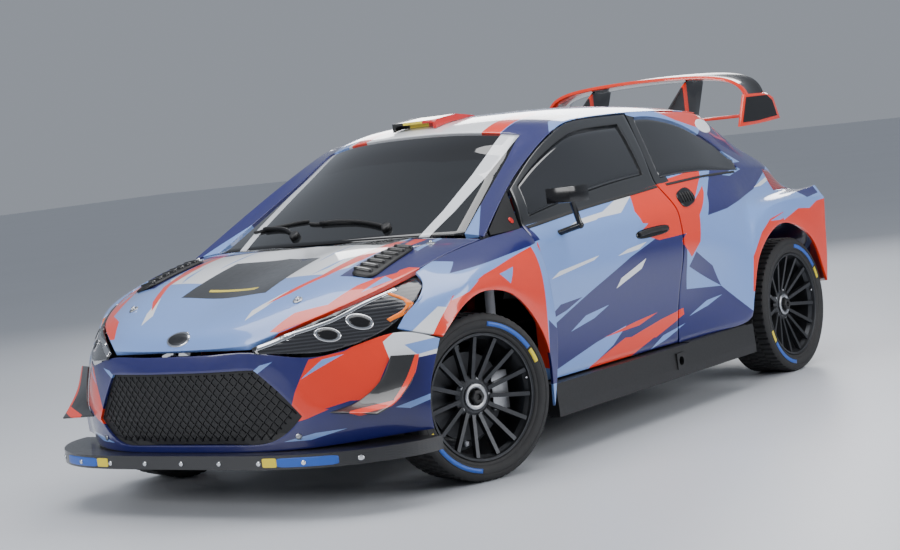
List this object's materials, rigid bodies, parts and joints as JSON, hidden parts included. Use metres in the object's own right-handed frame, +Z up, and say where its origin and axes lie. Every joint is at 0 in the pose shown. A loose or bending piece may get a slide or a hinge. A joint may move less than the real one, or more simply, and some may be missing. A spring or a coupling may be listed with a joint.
{
  "type": "rally car",
  "caption": "Three-door rally hatchback with wide arches, front splitter, large rear wing, opening doors, bonnet and tailgate, steered and rolling wheels.",
  "frame": {"origin": "on the ground below the middle of the car's overall box", "axes": "+Z up, the front faces -Y, the car's left is +X"},
  "size_m": [1.9991, 4.0997, 1.4927],
  "materials": {
    "paint": "gloss livery in light blue, navy, orange and white",
    "navy_paint": "gloss navy",
    "orange_paint": "gloss orange",
    "carbon": "carbon weave, satin",
    "black_plastic": "fine grain",
    "dark_glass": "tinted",
    "clear_glass": "clear",
    "lamp": "clear lens over a dark housing",
    "red_lamp": "dark red lens",
    "tyre": "smooth tarmac tread",
    "wheel": "matt dark grey",
    "steel": "machined and painted steel",
    "cage": "light grey",
    "engine": "plain",
    "floor": "satin black",
    "seat": "black"
  },
  "bodies": {
    "chassis": {"floor_pan": "floor", "roof_panel": "paint", "quarter_panel_left": "paint", "quarter_panel_right": "paint", "front_fender_left": "paint", "front_fender_right": "paint", "front_bumper": "navy_paint", "grille": "black_plastic", "splitter": "carbon", "headlight_left": "lamp", "headlight_right": "lamp", "tail_lamps": "red_lamp", "rear_bumper": "navy_paint", "diffuser": "carbon", "side_skirt_left": "black_plastic", "side_skirt_right": "black_plastic", "windscreen": "clear_glass", "quarter_glass_left": "dark_glass", "quarter_glass_right": "dark_glass", "roof_scoop": "black_plastic", "dashboard": "black_plastic", "roll_cage": "cage", "seats": "seat", "engine_block": "engine", "front_suspension": "steel", "rear_suspension": "steel", "towing_eyes": "orange_paint", "sail_panels": "black_plastic", "canards": "carbon"},
    "left_door": {"door_left": "paint", "door_glass_left": "dark_glass", "mirror_left": "black_plastic"},
    "right_door": {"door_right": "paint", "door_glass_right": "dark_glass"},
    "front_lid": {"bonnet": "paint"},
    "rear_gate": {"tailgate": "paint", "tailgate_glass": "dark_glass", "rear_wing": "carbon"},
    "left_steering_knuckle": {"knuckle_left": "steel"},
    "right_steering_knuckle": {"knuckle_right": "steel"},
    "front_left_wheel": {"wheel_front_left": "wheel", "tyre_front_left": "tyre"},
    "front_right_wheel": {"wheel_front_right": "wheel", "tyre_front_right": "tyre"},
    "rear_left_wheel": {"wheel_rear_left": "wheel", "tyre_rear_left": "tyre"},
    "rear_right_wheel": {"wheel_rear_right": "wheel", "tyre_rear_right": "tyre"}
  },
  "joints": [
    {"name": "left_door_hinge", "type": "hinge", "parent": "chassis", "child": "left_door", "pos_m": [0.885, -0.78, 0.6], "axis": [0, 0, -1], "range_deg": [0, 65]},
    {"name": "right_door_hinge", "type": "hinge", "parent": "chassis", "child": "right_door", "pos_m": [-0.885, -0.78, 0.6], "axis": [0, 0, 1], "range_deg": [0, 65]},
    {"name": "bonnet_hinge", "type": "hinge", "parent": "chassis", "child": "front_lid", "pos_m": [0, -1.104, 0.934], "axis": [-1, 0, 0], "range_deg": [0, 50]},
    {"name": "tailgate_hinge", "type": "hinge", "parent": "chassis", "child": "rear_gate", "pos_m": [0, 1.188, 1.338], "axis": [1, 0, 0], "range_deg": [0, 55]},
    {"name": "left_steering", "type": "hinge", "parent": "chassis", "child": "left_steering_knuckle", "pos_m": [0.75, -1.26, 0.322], "axis": [0, 0, 1], "range_deg": [-13.5, 50.5]},
    {"name": "right_steering", "type": "hinge", "parent": "chassis", "child": "right_steering_knuckle", "pos_m": [-0.75, -1.26, 0.322], "axis": [0, 0, 1], "range_deg": [-13.5, 50.5]},
    {"name": "front_left_spin", "type": "hinge", "parent": "left_steering_knuckle", "child": "front_left_wheel", "pos_m": [0.79742, -1.27587, 0.322], "axis": [0.9483, -0.3173, 0], "continuous": true},
    {"name": "front_right_spin", "type": "hinge", "parent": "right_steering_knuckle", "child": "front_right_wheel", "pos_m": [-0.79742, -1.24413, 0.322], "axis": [0.9483, -0.3173, 0], "continuous": true},
    {"name": "rear_left_spin", "type": "hinge", "parent": "chassis", "child": "rear_left_wheel", "pos_m": [0.8, 1.31, 0.322], "axis": [1, 0, 0], "continuous": true},
    {"name": "rear_right_spin", "type": "hinge", "parent": "chassis", "child": "rear_right_wheel", "pos_m": [-0.8, 1.31, 0.322], "axis": [1, 0, 0], "continuous": true}
  ],
  "couplings": [
    {"joint": "right_steering", "follows": "left_steering", "ratio": 1}
  ]
}
